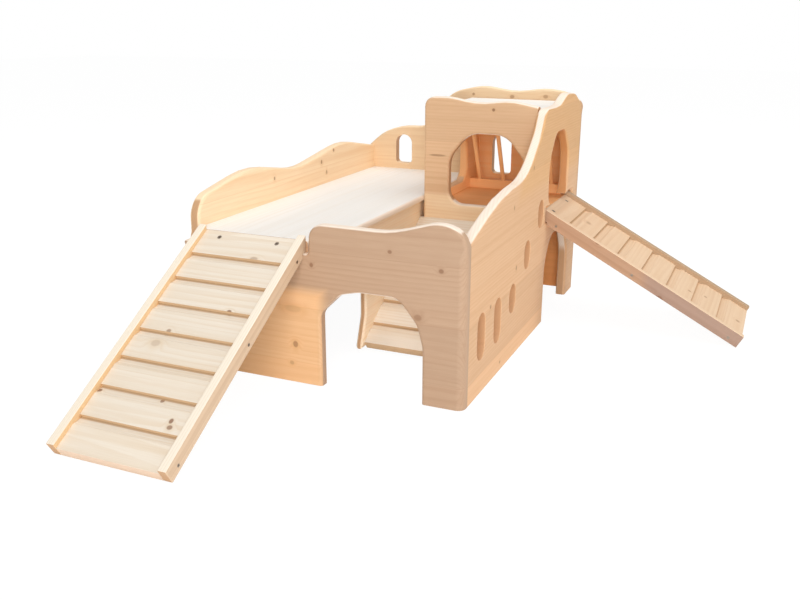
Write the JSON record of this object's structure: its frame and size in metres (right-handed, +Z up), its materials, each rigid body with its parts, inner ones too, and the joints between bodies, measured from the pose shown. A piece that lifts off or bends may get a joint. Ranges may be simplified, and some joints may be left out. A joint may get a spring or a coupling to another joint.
{
  "type": "guinea pig play castle",
  "caption": "Wooden guinea pig castle with a raised deck, a corner tower under a lift-off roof, arched doorways, arrow slits, a hay rack and grooved ramps up to deck and tower.",
  "frame": {"origin": "on the ground, under the middle of the bounding box with both outer ramps", "axes": "+X to the right past the right wall, -Y out of the front, +Z up"},
  "size_m": [0.8092, 1.0082, 0.4002],
  "materials": {
    "spruce_wall": "bare sanded spruce board",
    "spruce_floor": "bare pale spruce board",
    "spruce_ramp": "bare planed spruce with milled grooves",
    "spruce_batten": "bare planed spruce strip",
    "screw_steel": "dark zinc"
  },
  "bodies": {
    "castle": {"front_panel": "spruce_wall", "right_wall": "spruce_wall", "left_wall": "spruce_wall", "back_wall": "spruce_wall", "deck": "spruce_floor", "deck_partition": "spruce_wall", "deck_batten_left": "spruce_batten", "deck_batten_right": "spruce_batten", "deck_batten_back": "spruce_batten", "inner_ramp_board": "spruce_ramp", "inner_ramp_batten_left": "spruce_batten", "inner_ramp_batten_right": "spruce_batten", "tower_front": "spruce_wall", "tower_left_wall": "spruce_wall", "tower_floor": "spruce_floor", "tower_floor_batten_left": "spruce_batten", "tower_floor_batten_right": "spruce_batten", "roof_batten_front": "spruce_batten", "roof_batten_back": "spruce_batten", "hay_rack_foot_rail": "spruce_batten", "hay_rack_head_rail": "spruce_batten", "hay_rack_bars": "spruce_batten", "front_ramp_board": "spruce_ramp", "front_ramp_left_rail": "spruce_ramp", "front_ramp_right_rail": "spruce_ramp", "front_ramp_sill_screws": "screw_steel", "front_ramp_rail_screws": "screw_steel", "right_ramp_board": "spruce_ramp", "right_ramp_near_rail": "spruce_ramp", "right_ramp_far_rail": "spruce_ramp", "right_ramp_sill_screws": "screw_steel", "right_ramp_rail_screws": "screw_steel"},
    "roof": {"tower_roof": "spruce_floor"}
  },
  "joints": [
    {"name": "roof_lift", "type": "slide", "parent": "castle", "child": "roof", "axis": [0, 0, 1], "range_m": [0, 0.15]}
  ]
}
